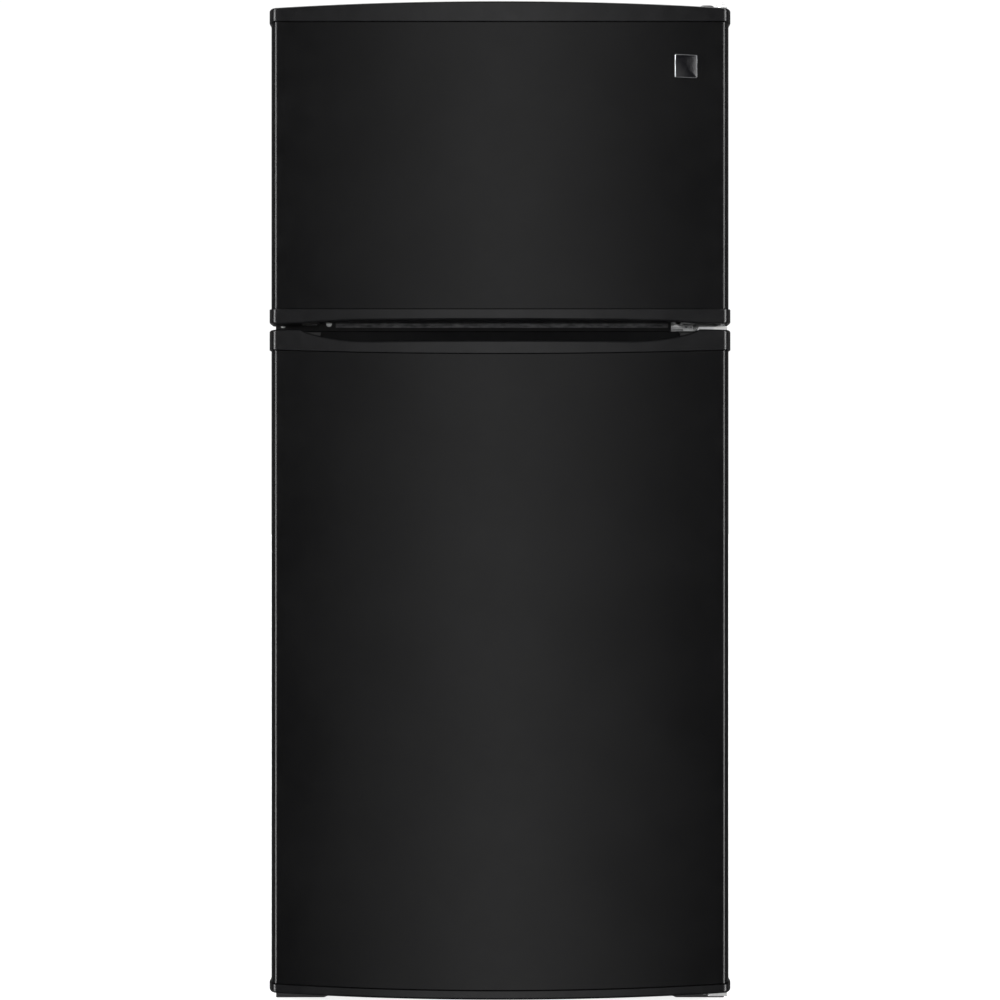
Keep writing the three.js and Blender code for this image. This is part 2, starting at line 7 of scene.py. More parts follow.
import bmesh
import bpy
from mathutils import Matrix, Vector


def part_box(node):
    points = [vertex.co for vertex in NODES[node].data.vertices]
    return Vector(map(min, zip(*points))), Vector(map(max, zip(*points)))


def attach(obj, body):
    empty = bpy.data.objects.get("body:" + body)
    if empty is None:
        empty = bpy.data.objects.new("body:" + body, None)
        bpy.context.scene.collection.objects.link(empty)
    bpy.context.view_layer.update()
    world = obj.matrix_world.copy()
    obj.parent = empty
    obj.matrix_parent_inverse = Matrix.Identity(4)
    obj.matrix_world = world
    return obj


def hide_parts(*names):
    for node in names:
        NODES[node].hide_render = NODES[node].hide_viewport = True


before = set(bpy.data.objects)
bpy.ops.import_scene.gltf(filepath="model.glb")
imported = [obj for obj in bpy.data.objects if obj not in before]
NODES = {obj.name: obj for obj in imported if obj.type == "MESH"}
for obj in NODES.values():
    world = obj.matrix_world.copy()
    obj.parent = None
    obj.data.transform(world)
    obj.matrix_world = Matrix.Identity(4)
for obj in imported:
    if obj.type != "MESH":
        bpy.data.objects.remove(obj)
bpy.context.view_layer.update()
MM = 0.001


# ---------------------------------------------------------------- camera
def make_camera():
    """Level camera at the height of the middle of the doors, square to the front."""
    data = bpy.data.cameras.new("camera")
    data.lens = 51.4
    camera = bpy.data.objects.new("camera", data)
    camera.location = (0, -2.522, 0.781)
    camera.rotation_euler = (math.pi / 2, 0, 0)
    bpy.context.scene.collection.objects.link(camera)
    bpy.context.scene.camera = camera


make_camera()


# ---------------------------------------------------------------- materials
SOCKETS = {"metallic": "Metallic", "specular": "Specular IOR Level", "transmission": "Transmission Weight",
           "ior": "IOR", "glow_colour": "Emission Color", "glow": "Emission Strength"}


class Nodes:
    """A material's node tree with short calls for what repeats."""

    def __init__(self, name, metallic=0.0):
        self.material = bpy.data.materials.new(name)
        self.material.use_nodes = True
        self.tree = self.material.node_tree
        self.shader = self.tree.nodes["Principled BSDF"]
        self.set(metallic=metallic)
        self.place = self.add("ShaderNodeTexCoord").outputs["Object"]

    def set(self, **values):
        """Uniform values, straight on the shader's sockets."""
        for key, value in values.items():
            self.shader.inputs[SOCKETS[key]].default_value = value

    def add(self, kind, links=None, **settings):
        node = self.tree.nodes.new(kind)
        for key, value in settings.items():
            setattr(node, key, value)
        for key, value in (links or {}).items():
            self.put(node.inputs[key], value)
        return node

    def put(self, socket, value):
        if isinstance(value, bpy.types.NodeSocket):
            self.tree.links.new(value, socket)
        else:
            socket.default_value = value

    def noise(self, scale, detail=3.0, roughness=0.5, stretch=(1, 1, 1)):
        spread = self.add("ShaderNodeMapping", {"Vector": self.place, "Scale": stretch})
        links = {"Vector": spread.outputs[0], "Scale": scale, "Detail": detail, "Roughness": roughness}
        return self.add("ShaderNodeTexNoise", links).outputs[0]

    def cells(self, scale, feature="SMOOTH_F1"):
        links = {"Vector": self.place, "Scale": scale}
        return self.add("ShaderNodeTexVoronoi", links, feature=feature).outputs[0]

    def ramp(self, value, low, high, start=0.0, end=1.0):
        links = {"Value": value, "From Min": start, "From Max": end, "To Min": low, "To Max": high}
        return self.add("ShaderNodeMapRange", links).outputs[0]

    def tint(self, value, dark, light, start=0.35, end=0.65):
        mix = self.add("ShaderNodeMix", data_type="RGBA")
        self.put(mix.inputs["Factor"], self.ramp(value, 0, 1, start, end))
        self.put(mix.inputs[6], (*dark, 1))
        self.put(mix.inputs[7], (*light, 1))
        self.put(self.shader.inputs["Base Color"], mix.outputs[2])

    def rough(self, value, low, high, start=0.3, end=0.7):
        self.put(self.shader.inputs["Roughness"], self.ramp(value, low, high, start, end))

    def bump(self, *layers):
        """Layers of (height, strength, distance), one on another."""
        normal = None
        for height, strength, distance in layers:
            node = self.add("ShaderNodeBump", {"Height": height, "Strength": strength, "Distance": distance})
            if normal is not None:
                self.put(node.inputs["Normal"], normal)
            normal = node.outputs[0]
        self.put(self.shader.inputs["Normal"], normal)


def door_paint():
    """Black enamel on steel: deep gloss with a faint orange peel."""
    m = Nodes("door_paint")
    m.tint(m.noise(6, 4), (0.0022, 0.0022, 0.0024), (0.0034, 0.0034, 0.0036))
    m.rough(m.noise(40, 4), 0.20, 0.24)
    m.set(specular=0.31)
    m.bump((m.noise(260, 2), 0.035, 0.0003), (m.noise(14, 2), 0.012, 0.002))
    return m.material


def cap_plastic():
    """Satin black moulding with a fine spark-eroded grain."""
    m = Nodes("cap_plastic")
    m.tint(m.noise(25, 5), (0.004, 0.004, 0.0044), (0.0065, 0.0065, 0.007))
    m.rough(m.noise(90, 4), 0.21, 0.26)
    m.set(specular=0.42)
    m.bump((m.noise(1400, 3), 0.08, 0.0002))
    return m.material


def pocket_shade_plastic():
    """The cap's moulding where fingers reach in: coarse grain without gloss, a touch darker than the cap, as
    painted shade for the deep recess.
    """
    m = Nodes("pocket_shade_plastic")
    m.tint(m.noise(25, 5), (0.004, 0.004, 0.0044), (0.006, 0.006, 0.0064))
    m.rough(m.noise(90, 4), 0.62, 0.72)
    m.set(specular=0.12)
    m.bump((m.cells(700), 0.25, 0.0003))
    return m.material


def cabinet_paint():
    """Pre-coated black sheet with a pebbled emboss."""
    m = Nodes("cabinet_paint")
    m.tint(m.noise(8, 5), (0.009, 0.009, 0.0095), (0.011, 0.011, 0.0115))
    m.rough(m.noise(70, 5), 0.44, 0.50)
    m.set(specular=0.28)
    m.bump((m.cells(420), 0.3, 0.0004), (m.noise(900, 4), 0.12, 0.0002))
    return m.material


def dark_moulding():
    """Coarser black plastic of feet, grille and pans."""
    m = Nodes("dark_moulding")
    m.tint(m.noise(30, 5), (0.012, 0.012, 0.013), (0.02, 0.02, 0.021))
    m.rough(m.noise(120, 4), 0.5, 0.62)
    m.bump((m.cells(900), 0.3, 0.0003))
    return m.material


def zinc():
    """Passivated zinc plate with its cloudy patches and rolling marks."""
    m = Nodes("zinc", metallic=1.0)
    m.tint(m.noise(60, 6, 0.6), (0.66, 0.67, 0.68), (0.88, 0.88, 0.87))
    m.rough(m.noise(35, 6, 0.7), 0.24, 0.40)
    m.bump((m.noise(50, 3, stretch=(1, 14, 14)), 0.08, 0.0003))
    return m.material


def chrome():
    """Bright plated trim."""
    m = Nodes("chrome", metallic=1.0)
    m.tint(m.noise(90, 4), (0.72, 0.73, 0.75), (0.80, 0.81, 0.83))
    m.rough(m.noise(160, 4), 0.12, 0.22)
    m.bump((m.noise(400, 3), 0.04, 0.0002))
    return m.material


def mullion_steel():
    """Grey galvanised strip with its spangle, dulled by handling."""
    m = Nodes("mullion_steel", metallic=0.5)
    m.tint(m.noise(70, 6, 0.65, (1, 1, 3)), (0.05, 0.05, 0.052), (0.17, 0.17, 0.175))
    m.rough(m.noise(60, 5), 0.42, 0.6)
    m.bump((m.cells(160), 0.15, 0.0003))
    return m.material


def badge_face():
    """Black lacquer inside the badge's rim."""
    m = Nodes("badge_face")
    m.tint(m.noise(200, 3), (0.004, 0.004, 0.005), (0.007, 0.007, 0.008))
    m.rough(m.noise(300, 3), 0.12, 0.2)
    m.bump((m.noise(500, 3), 0.05, 0.0001))
    return m.material


def white_liner():
    """Vacuum-formed white sheet: soft gloss and slight waves."""
    m = Nodes("white_liner")
    m.tint(m.noise(5, 4), (0.60, 0.61, 0.61), (0.65, 0.66, 0.66))
    m.rough(m.noise(60, 4), 0.36, 0.46)
    m.bump((m.noise(12, 2), 0.03, 0.002), (m.noise(700, 3), 0.03, 0.0002))
    return m.material


def white_moulding():
    """Injection-moulded white plastic with a light grain."""
    m = Nodes("white_moulding")
    m.tint(m.noise(40, 4), (0.66, 0.67, 0.67), (0.71, 0.72, 0.72))
    m.rough(m.noise(120, 4), 0.32, 0.42)
    m.bump((m.noise(1100, 3), 0.08, 0.0002))
    return m.material


def clear_plastic():
    """Clear styrene with flow marks and fine scuffs."""
    m = Nodes("clear_plastic")
    m.tint(m.noise(12, 4), (0.86, 0.92, 0.93), (0.93, 0.97, 0.98))
    m.rough(m.noise(45, 5), 0.06, 0.16)
    m.set(transmission=0.9, ior=1.3)
    m.bump((m.noise(30, 2), 0.05, 0.001), (m.noise(600, 3), 0.04, 0.0002))
    return m.material


def shelf_glass():
    """Float glass, slightly green, with faint wipe marks."""
    m = Nodes("shelf_glass")
    m.tint(m.noise(9, 4), (0.80, 0.92, 0.88), (0.88, 0.96, 0.93))
    m.rough(m.noise(22, 6, 0.7, (1, 6, 1)), 0.02, 0.09)
    m.set(transmission=1.0, ior=1.45)
    m.bump((m.noise(8, 1), 0.03, 0.002))
    return m.material


def foam():
    """Rigid foam with its open skin."""
    m = Nodes("foam")
    m.tint(m.noise(30, 6), (0.62, 0.50, 0.26), (0.78, 0.68, 0.42))
    m.rough(m.noise(80, 4), 0.8, 0.95)
    m.bump((m.cells(260), 0.5, 0.001), (m.noise(60, 5), 0.3, 0.002))
    return m.material


def seal():
    """Flexible door seal: dull, slightly dusty."""
    m = Nodes("seal")
    m.tint(m.noise(80, 5), (0.016, 0.016, 0.017), (0.028, 0.028, 0.029))
    m.rough(m.noise(140, 4), 0.5, 0.65)
    m.bump((m.noise(300, 3), 0.12, 0.0003))
    return m.material


def aluminium():
    """Mill-finish fins and tube."""
    m = Nodes("aluminium", metallic=1.0)
    m.tint(m.noise(70, 5), (0.62, 0.63, 0.64), (0.78, 0.79, 0.8))
    m.rough(m.noise(50, 5), 0.3, 0.45)
    m.bump((m.noise(300, 3), 0.1, 0.0003))
    return m.material


def coil_paint():
    """Copper-plated tube under thin black paint, worn to brown."""
    m = Nodes("coil_paint", metallic=0.6)
    m.tint(m.noise(120, 6, 0.65), (0.05, 0.03, 0.02), (0.28, 0.13, 0.07))
    m.rough(m.noise(90, 4), 0.35, 0.55)
    m.bump((m.noise(400, 4), 0.15, 0.0003))
    return m.material


def compressor_paint():
    """Thick black dip paint over a steel shell."""
    m = Nodes("compressor_paint")
    m.tint(m.noise(20, 5), (0.008, 0.008, 0.008), (0.016, 0.016, 0.016))
    m.rough(m.noise(30, 5), 0.2, 0.38)
    m.bump((m.noise(55, 3), 0.25, 0.001), (m.noise(500, 3), 0.1, 0.0003))
    return m.material


MATERIALS = {make.__name__: make() for make in (
    door_paint, cap_plastic, pocket_shade_plastic, cabinet_paint, dark_moulding, zinc, mullion_steel, chrome,
    badge_face, white_liner, white_moulding, clear_plastic, shelf_glass, foam, seal,
    aluminium, coil_paint, compressor_paint)}


# ---------------------------------------------------------------- mesh helpers
def piece(name, points, faces, material, body, slot, replaces=(), sharp=35):
    """A new closed or open mesh piece that rides on a body."""
    mesh = bpy.data.meshes.new(name)
    mesh.from_pydata([tuple(p) for p in points], [], faces)
    shape = bmesh.new()
    shape.from_mesh(mesh)
    bmesh.ops.remove_doubles(shape, verts=shape.verts, dist=1e-6)
    bmesh.ops.recalc_face_normals(shape, faces=shape.faces)
    shape.to_mesh(mesh)
    shape.free()
    mesh.materials.append(MATERIALS[material])
    mesh.shade_smooth()
    mesh.set_sharp_from_angle(angle=math.radians(sharp))
    obj = bpy.data.objects.new(name, mesh)
    bpy.context.scene.collection.objects.link(obj)
    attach(obj, body)
    if replaces:
        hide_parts(*replaces)
    return obj


def grid_faces(columns, rows, close_rows=False):
    """Quads between neighbouring columns of points; rows may close round."""
    faces = []
    for c in range(columns - 1):
        for r in range(rows if close_rows else rows - 1):
            n = (r + 1) % rows
            faces.append((c * rows + r, (c + 1) * rows + r, (c + 1) * rows + n, c * rows + n))
    return faces


def smooth(t):
    t = min(1.0, max(0.0, t))
    return t * t * (3 - 2 * t)


class Bow:
    """Plan of a convex front: a shallow arc with its corners rounded to meet the straight sides."""

    def __init__(self, half, crown, sagitta, corner):
        self.half, self.crown, self.corner = half, crown, corner
        self.radius = (half ** 2 + sagitta ** 2) / (2 * sagitta)
        reach = self.radius - corner
        self.corner_x = half - corner
        self.corner_y = crown + self.radius - math.sqrt(reach ** 2 - self.corner_x ** 2)
        self.turn = math.asin(self.corner_x / reach)
        self.arc_x = self.radius * math.sin(self.turn)

    def y(self, x):
        x = abs(x)
        if x <= self.arc_x:
            return self.crown + self.radius - math.sqrt(self.radius ** 2 - x ** 2)
        side = min(self.corner, x - self.corner_x)
        return self.corner_y - math.sqrt(max(0.0, self.corner ** 2 - side ** 2))

    def depth(self, x, y):
        """How far (x, y) lies inside the outline's front and sides."""
        ax = abs(x)
        if ax > self.corner_x and y < self.corner_y:
            return self.corner - math.hypot(ax - self.corner_x, y - self.corner_y)
        return min(self.half - ax, (y - self.y(x)) * math.cos(self.turn * ax / self.half))

    def columns(self, step):
        """x values from side to side, close together round the corners."""
        turns = [math.radians(a) for a in range(0, 91, 6)]
        side = [self.half - self.corner * (1 - math.cos(a)) for a in turns]
        side = [x for x in side if x > self.arc_x]
        count = round(self.arc_x / step)
        middle = [self.arc_x * i / count for i in range(-count, count + 1)]
        return [-x for x in side] + middle + side[::-1]


# ---------------------------------------------------------------- doors
SAGITTA = 32 * MM
skin_low, skin_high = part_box("fridge_door_skin")
cap_low, cap_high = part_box("fridge_door_top_cap")
SKIN = Bow(skin_high.x, skin_low.y, SAGITTA, 14 * MM)
CAP = Bow(cap_high.x, cap_low.y, SAGITTA, 16 * MM)
REAR = skin_high.y
SEAM_DIP = {"fridge_top": 8.9 * MM, "freezer_bottom": 4.2 * MM, "freezer_top": 10.7 * MM, "fridge_bottom": 0.0}


def seam_height(side, dip):
    """Height of a seam that dips in the middle."""
    return lambda x: side - dip * (1 - min(1.0, (x / SKIN.half) ** 2))


def skin_seams(door):
    low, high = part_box(f"{door}_door_skin")
    bottom_side = low.z + SEAM_DIP[f"{door}_bottom"]
    return seam_height(bottom_side, SEAM_DIP[f"{door}_bottom"]), seam_height(high.z, SEAM_DIP[f"{door}_top"])


def door_skin(door):
    """Folded sheet: convex front, straight sides, hems at both seams and a flange behind."""
    low, high = skin_seams(door)
    hem, flange = 0.8 * MM, 0.330
    outline = [(x, SKIN.y(x)) for x in SKIN.columns(6 * MM)]
    outline = [(-flange, REAR), (-SKIN.half + hem, REAR), (-SKIN.half, REAR - hem)] + outline
    outline += [(SKIN.half, REAR - hem), (SKIN.half - hem, REAR), (flange, REAR)]
    hem_rows = ((1.2, 0.0), (0.35, 0.25), (0.0, 0.9), (0.0, 2.5))  # inward and up from the seam, in hems
    points = []
    for i, (x, y) in enumerate(outline):
        before, after = outline[max(0, i - 1)], outline[min(len(outline) - 1, i + 1)]
        inward = Vector((before[1] - after[1], after[0] - before[0], 0)).normalized() * hem
        a, b = low(x), high(x)
        points += [(x + inward.x * go, y + inward.y * go, a + hem * up) for go, up in hem_rows]
        points += [(x, y, a + (b - a) * t / 6) for t in range(1, 6)]
        points += [(x + inward.x * go, y + inward.y * go, b - hem * up) for go, up in reversed(hem_rows)]
    piece(f"{door}_door_sheet", points, grid_faces(len(outline), 5 + 2 * len(hem_rows)), "door_paint",
          f"{door}_door", "gloss_door", [f"{door}_door_skin"], sharp=25)


# A handle cap's lip, pocket and rear step: half width, and the length over which each rises at its ends.
LIP_HALF, LIP_END, LIP_DEPTH = 0.305, 0.105, 14 * MM
POCKET_HALF, POCKET_END, POCKET_BACK = 0.277, 0.016, -0.312
REAR_HALF, REAR_END = 0.286, 0.012
SEAM_CHAMFER, SEAM_OVERLAP = 0.7 * MM, 0.3 * MM
SOFT_EDGE, POCKET_ROUND = 2.2 * MM, 5 * MM  # radii of the pocket's outer edges and of its floor
EDGE_TURN = [math.radians(9 * k) for k in range(11)]
QUARTER_TURN = [math.radians(22.5 * k) for k in range(5)]


def edge_fall(edge, inside):
    """How far a rounded edge has fallen at a distance inside its outline."""
    return edge - math.sqrt(max(0.0, edge ** 2 - (edge - max(0.0, inside)) ** 2))


def cap_body(name, node, body, up, dip, edge=4 * MM, lip_step=0.0, pocket_depth=0.0, rear_step=0.0):
    """End cap as one moulding. Heights are depths below its outer face, and up is 1 or -1.

    Its edge is rounded all round, its seam follows the skin, and a handle cap has a stepped front lip
    with a finger pocket behind it. rear_step sets the face behind the pocket back.
    """
    low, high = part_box(node)
    face = high.z if up > 0 else low.z
    door_low, door_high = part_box(f"{body}_skin")
    seam_side = door_high.z + SEAM_OVERLAP if up > 0 else door_low.z - SEAM_OVERLAP + dip
    seam = seam_height(seam_side, dip)
    points = []
    xs = CAP.columns(2.5 * MM)
    for x in xs:
        front = CAP.y(x)
        t = min(1.0, max(0.0, (LIP_HALF - abs(x)) / LIP_END))
        lip = lip_step * math.sin(math.pi / 2 * t) ** 0.7
        floor = lip
        if pocket_depth:
            floor += (pocket_depth - lip) * smooth((POCKET_HALF - abs(x)) / POCKET_END)
        rear = rear_step * smooth((REAR_HALF - abs(x)) / REAR_END)
        seam_depth = up * (face - seam(x))
        pocket_front = min(front + LIP_DEPTH, POCKET_BACK - 2 * MM)
        r_lip = min(SOFT_EDGE, max(0.0, floor - lip) / 2)
        r_floor = min(POCKET_ROUND, max(0.0, floor - lip) / 2)
        r_rear = min(SOFT_EDGE, max(0.0, floor - rear) / 2)
        profile = [(front + SEAM_CHAMFER, seam_depth), (front, seam_depth - SEAM_CHAMFER)]
        profile += [(front + edge * (1 - math.cos(a)), lip) for a in EDGE_TURN]
        profile += [(pocket_front - r_lip * (1 - math.sin(a)), lip + r_lip * (1 - math.cos(a)))
                    for a in QUARTER_TURN]
        profile += [(pocket_front + r_floor * (1 - math.cos(a)), floor - r_floor * (1 - math.sin(a)))
                    for a in QUARTER_TURN]
        profile += [(POCKET_BACK - r_floor * (1 - math.sin(a)), floor - r_floor * (1 - math.cos(a)))
                    for a in QUARTER_TURN]
        profile += [(POCKET_BACK + r_rear * (1 - math.cos(a)), rear + r_rear * (1 - math.sin(a)))
                    for a in QUARTER_TURN]
        profile += [(REAR - 2 * MM, rear), (REAR - 0.6 * MM, rear + 0.6 * MM), (REAR, rear + 2 * MM),
                    (REAR, seam_depth)]
        rear_rows = len(profile) - 4
        for k, (y, depth) in enumerate(profile):
            inside, side = CAP.depth(x, y), CAP.half - abs(x)
            if 2 <= k < rear_rows and inside < edge:
                depth += edge_fall(edge, inside)
            elif rear_rows <= k < len(profile) - 1 and side < edge:
                depth += edge_fall(edge, side)
            points.append((x, y, face - up * depth))
    rows = len(profile)
    faces = grid_faces(len(xs), rows, close_rows=True)
    faces += [tuple(range(rows)), tuple(range((len(xs) - 1) * rows, len(xs) * rows))]
    obj = piece(name, points, faces, "cap_plastic", body, "black_plastic", [node])
    if pocket_depth:
        # The pocket's faces take the darker, dull copy of the cap moulding: painted shade for the recess,
        # besides its coarser grain.
        obj.data.materials.append(MATERIALS["pocket_shade_plastic"])
        for polygon in obj.data.polygons:
            x, y, z = polygon.center
            inside = abs(x) < POCKET_HALF + 0.5 * MM and CAP.y(x) + 6 * MM < y < POCKET_BACK + 0.4 * MM
            polygon.material_index = int(inside and up * (face - z) < pocket_depth + 0.1 * MM)


for door in ("freezer", "fridge"):
    door_skin(door)
cap_body("freezer_door_crown", "freezer_door_top_cap", "freezer_door", 1, SEAM_DIP["freezer_top"])
cap_body("freezer_door_grip", "freezer_door_bottom_cap", "freezer_door", -1, SEAM_DIP["freezer_bottom"],
         lip_step=2.8 * MM, pocket_depth=16 * MM, rear_step=4.6 * MM)
cap_body("fridge_door_grip", "fridge_door_top_cap", "fridge_door", 1, SEAM_DIP["fridge_top"],
         lip_step=19.5 * MM, pocket_depth=42 * MM)
cap_body("fridge_door_sole", "fridge_door_bottom_cap", "fridge_door", -1, SEAM_DIP["fridge_bottom"],
         edge=5 * MM)


# ---------------------------------------------------------------- CAD nodes kept, with better surfaces
def dress(material, *names, bevel=0.5 * MM):
    """Gives CAD nodes their material and takes the knife edge off their corners."""
    for name in names:
        obj = NODES[name]
        obj.data.materials.clear()
        obj.data.materials.append(MATERIALS[material])
        weld = obj.modifiers.new("weld", "WELD")
        weld.merge_threshold = 1e-5
        edge = obj.modifiers.new("edge", "BEVEL")
        edge.width = bevel
        edge.segments = 2
        edge.limit_method = "ANGLE"
        edge.angle_limit = math.radians(40)
        edge.harden_normals = True
        edge.use_clamp_overlap = True


dress("cabinet_paint", "cabinet_shell", "rear_panel", "compressor_cover", bevel=0.4 * MM)
dress("zinc", "top_hinge", "centre_hinge", "bottom_hinge", bevel=0.5 * MM)
dress("zinc", "base_pan", bevel=0.3 * MM)
dress("white_liner", "freezer_liner", "fridge_liner", "freezer_door_liner", "fridge_door_liner", bevel=0.9 * MM)
dress("white_moulding", "freezer_shelf", "upper_shelf_frame", "lower_shelf_frame", "control_housing",
      "evaporator_cover", "temperature_knob", "light_switch_button", "freezer_door_shelf", bevel=0.6 * MM)
dress("clear_plastic", "dairy_tray", "dairy_flap", "door_bin_lower", "door_bin_middle", "crisper_left",
      "crisper_right", "light_shield", bevel=0.8 * MM)
dress("shelf_glass", "upper_shelf_glass", "lower_shelf_glass", "crisper_cover", "light_bulb", bevel=0.5 * MM)
dress("foam", "foam_left", "foam_right", "foam_rear", "foam_mullion", "foam_floor", "freezer_door_foam",
      "fridge_door_foam", bevel=1 * MM)
dress("seal", "freezer_door_gasket", "fridge_door_gasket", "rear_roller_left", "rear_roller_right")
dress("dark_moulding", "foot_cover_left", "foot_cover_right", "toe_grille", "drain_pan", "evaporator_fan",
      "condenser_fan", "levelling_leg_left", "levelling_leg_right")
dress("aluminium", "evaporator", bevel=0.2 * MM)
dress("coil_paint", "condenser_coil", bevel=0.1 * MM)
dress("compressor_paint", "compressor", bevel=1 * MM)


# ---------------------------------------------------------------- small pieces
def placed(origin, across, up):
    """Turns (u, v, h) on a face into a point: u across it, v up it and h out of it."""
    origin, across, up = Vector(origin), Vector(across).normalized(), Vector(up)
    out = across.cross(up)
    return lambda u, v, h: origin + across * u + up * v + out * h


def on_front(x, y, z):
    return placed((x, y, z), (1, 0, 0), (0, 0, 1))


def on_rear(x, y, z):
    return placed((x, y, z), (-1, 0, 0), (0, 0, 1))


def circle(radius, count=24):
    turns = [math.tau * (k + 0.5) / count for k in range(count)]
    return [(radius * math.cos(a), radius * math.sin(a)) for a in turns]


def rounded(width, height, radius, steps=6):
    """Outline of a rectangle with round corners, about its middle."""
    points = []
    for cx, cy, start in ((1, 1, 0), (-1, 1, 90), (-1, -1, 180), (1, -1, 270)):
        for k in range(steps + 1):
            a = math.radians(start + 90 * k / steps)
            points.append((cx * (width / 2 - radius) + radius * math.cos(a),
                           cy * (height / 2 - radius) + radius * math.sin(a)))
    return points


class Batch:
    """Lofted shells gathered into one piece."""

    def __init__(self):
        self.points, self.faces = [], []

    def loft(self, loops, ring=False):
        """Skin over loops of equal count, its ends capped, or joined to each other for a ring."""
        base, count = len(self.points), len(loops[0])
        self.points += [p for loop in loops for p in loop]
        for a in range(len(loops) if ring else len(loops) - 1):
            b = (a + 1) % len(loops)
            for i in range(count):
                j = (i + 1) % count
                quad = (a * count + i, a * count + j, b * count + j, b * count + i)
                self.faces.append(tuple(base + k for k in quad))
        if not ring:
            self.faces.append(tuple(range(base, base + count)))
            self.faces.append(tuple(range(base + (len(loops) - 1) * count, base + len(loops) * count)))
        return self

    def round(self, place, profile, count=24):
        """A turned knob, screw head or disc from (radius, height) pairs."""
        return self.loft([[place(u, v, h) for u, v in circle(r, count)] for r, h in profile])

    def pad(self, place, width, height, radius, thick, soft):
        """A flat pad with round corners and soft edges, standing thick off its face."""
        loops = []
        for inset, h in ((0, 0), (0, thick - soft), (soft * 0.3, thick - soft * 0.3), (soft, thick)):
            outline = rounded(width - 2 * inset, height - 2 * inset, max(radius - inset, radius * 0.2))
            loops.append([place(u, v, h) for u, v in outline])
        return self.loft(loops)

    def screw(self, place, radius=4 * MM, tall=2.2 * MM):
        """Hex head on a washer flange."""
        self.round(place, [(radius * 1.5, 0), (radius * 1.5, 0.5 * MM), (radius * 1.3, 0.8 * MM)], 24)
        return self.round(place, [(radius, 0.6 * MM), (radius, tall * 0.8), (radius * 0.85, tall)], 6)

    def make(self, name, material, body, slot, **more):
        return piece(name, self.points, self.faces, material, body, slot, **more)


def badge():
    """Silver rim round a black lacquered plate, without any mark."""
    low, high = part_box("badge")
    x, z, size = (low.x + high.x) / 2, (low.z + high.z) / 2, high.z - low.z
    step = 1 * MM
    slope = Vector((step, SKIN.y(x + step) - SKIN.y(x), 0))
    place = placed((x, SKIN.y(x), z), slope, (0, 0, 1))
    rim = [(0, 0.3), (0, 1.7), (0.35, 2.1), (0.9, 2.2), (1.4, 2.0), (1.6, 1.2), (1.6, 0.3)]
    loops = []
    for inset, h in rim:
        outline = rounded(size - 2 * inset * MM, size - 2 * inset * MM, (3.6 - inset) * MM)
        loops.append([place(u, v, h * MM) for u, v in outline])
    Batch().loft(loops, ring=True).make("badge_rim", "chrome", "freezer_door", "chrome", replaces=["badge"])
    plate = Batch().pad(placed(place(0, 0, 0.35 * MM), slope, (0, 0, 1)), size - 3.4 * MM, size - 3.4 * MM,
                        1.9 * MM, 1.1 * MM, 0.4 * MM)
    plate.make("badge_plate", "badge_face", "freezer_door", "chrome", replaces=["badge"])


# Places in the gap between the doors, as x and z, read from the photograph.
PLUG_SPOTS = ((-0.340, 1.0552), (-0.268, 1.0568))
STRIP_SPOT, STRIP_SIZE = (0.003, 1.0563), (0.521, 0.0104)
CLIP_SPOT, CLIP_FOOT, CLIP_WIDTH = (0.2772, 1.0556), (0.2772, 1.0470), 0.0195
HOLE_SPOT = (0.2915, 1.0535)
SCREW_SPOTS = (((0.3035, 1.0540), 2.8 * MM), ((0.300, 0.030), 3.2 * MM))  # centre and bottom hinge, with radius
SPACER_SPOT = (0.342, -0.311, 1.0481)  # round the centre hinge's pin, on its arm
HINGE_PLATE = 3.3 * MM  # the hinge plates' thickness


def gap_details():
    """What shows between the doors: plug buttons, a grey strip, the hinge's clip, screw and spacer."""
    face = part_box("cabinet_shell")[0].y
    plate = face - HINGE_PLATE
    plugs = Batch()
    dome = [(4.6, 0), (4.6, 0.6), (4.2, 1.3), (3.2, 2.0), (1.8, 2.3), (0.6, 2.4)]
    for x, z in PLUG_SPOTS:
        plugs.round(on_front(x, face, z), [(r * MM, h * MM) for r, h in dome])
    plugs.make("plug_buttons", "white_moulding", "cabinet", "white_plastic")

    x, z = STRIP_SPOT
    strip = Batch().pad(on_front(x, face, z), *STRIP_SIZE, 0.6 * MM, 0.5 * MM, 0.3 * MM)
    strip.make("mullion_strip", "mullion_steel", "cabinet", "zinc_steel")

    x, z = CLIP_SPOT
    clip = Batch().pad(on_front(x, plate, z), CLIP_WIDTH, 0.0102, 1.2 * MM, 1.8 * MM, 0.7 * MM)
    clip.pad(on_front(CLIP_FOOT[0], plate, CLIP_FOOT[1]), CLIP_WIDTH, 0.0022, 0.8 * MM, 1.5 * MM, 0.6 * MM)
    clip.pad(on_front(x, plate - 1.7 * MM, z), 0.009, 0.0062, 2.2 * MM, 0.9 * MM, 0.5 * MM)
    clip.make("hinge_clip", "zinc", "cabinet", "zinc_steel")

    x, z = HOLE_SPOT
    disc = [(2.9, 0), (2.9, 0.5), (2.3, 0.8), (0.8, 0.85)]
    hole = Batch().round(on_front(x, plate, z), [(r * MM, h * MM) for r, h in disc])
    hole.make("hinge_plug", "dark_moulding", "cabinet", "black_plastic")

    screws = Batch()
    for (x, z), radius in SCREW_SPOTS:
        screws.screw(on_front(x, plate, z), radius, 2.4 * MM)
    screws.make("hinge_screws", "zinc", "cabinet", "zinc_steel")

    place = placed(SPACER_SPOT, (1, 0, 0), (0, 1, 0))
    ring = [(7.4, 0), (7.4, 1.9), (7.0, 2.3), (4.9, 2.3), (4.5, 1.9), (4.5, 0)]
    spacer = Batch().loft([[place(u, v, h * MM) for u, v in circle(r * MM)] for r, h in ring], ring=True)
    spacer.make("hinge_spacer", "white_moulding", "cabinet", "white_plastic")


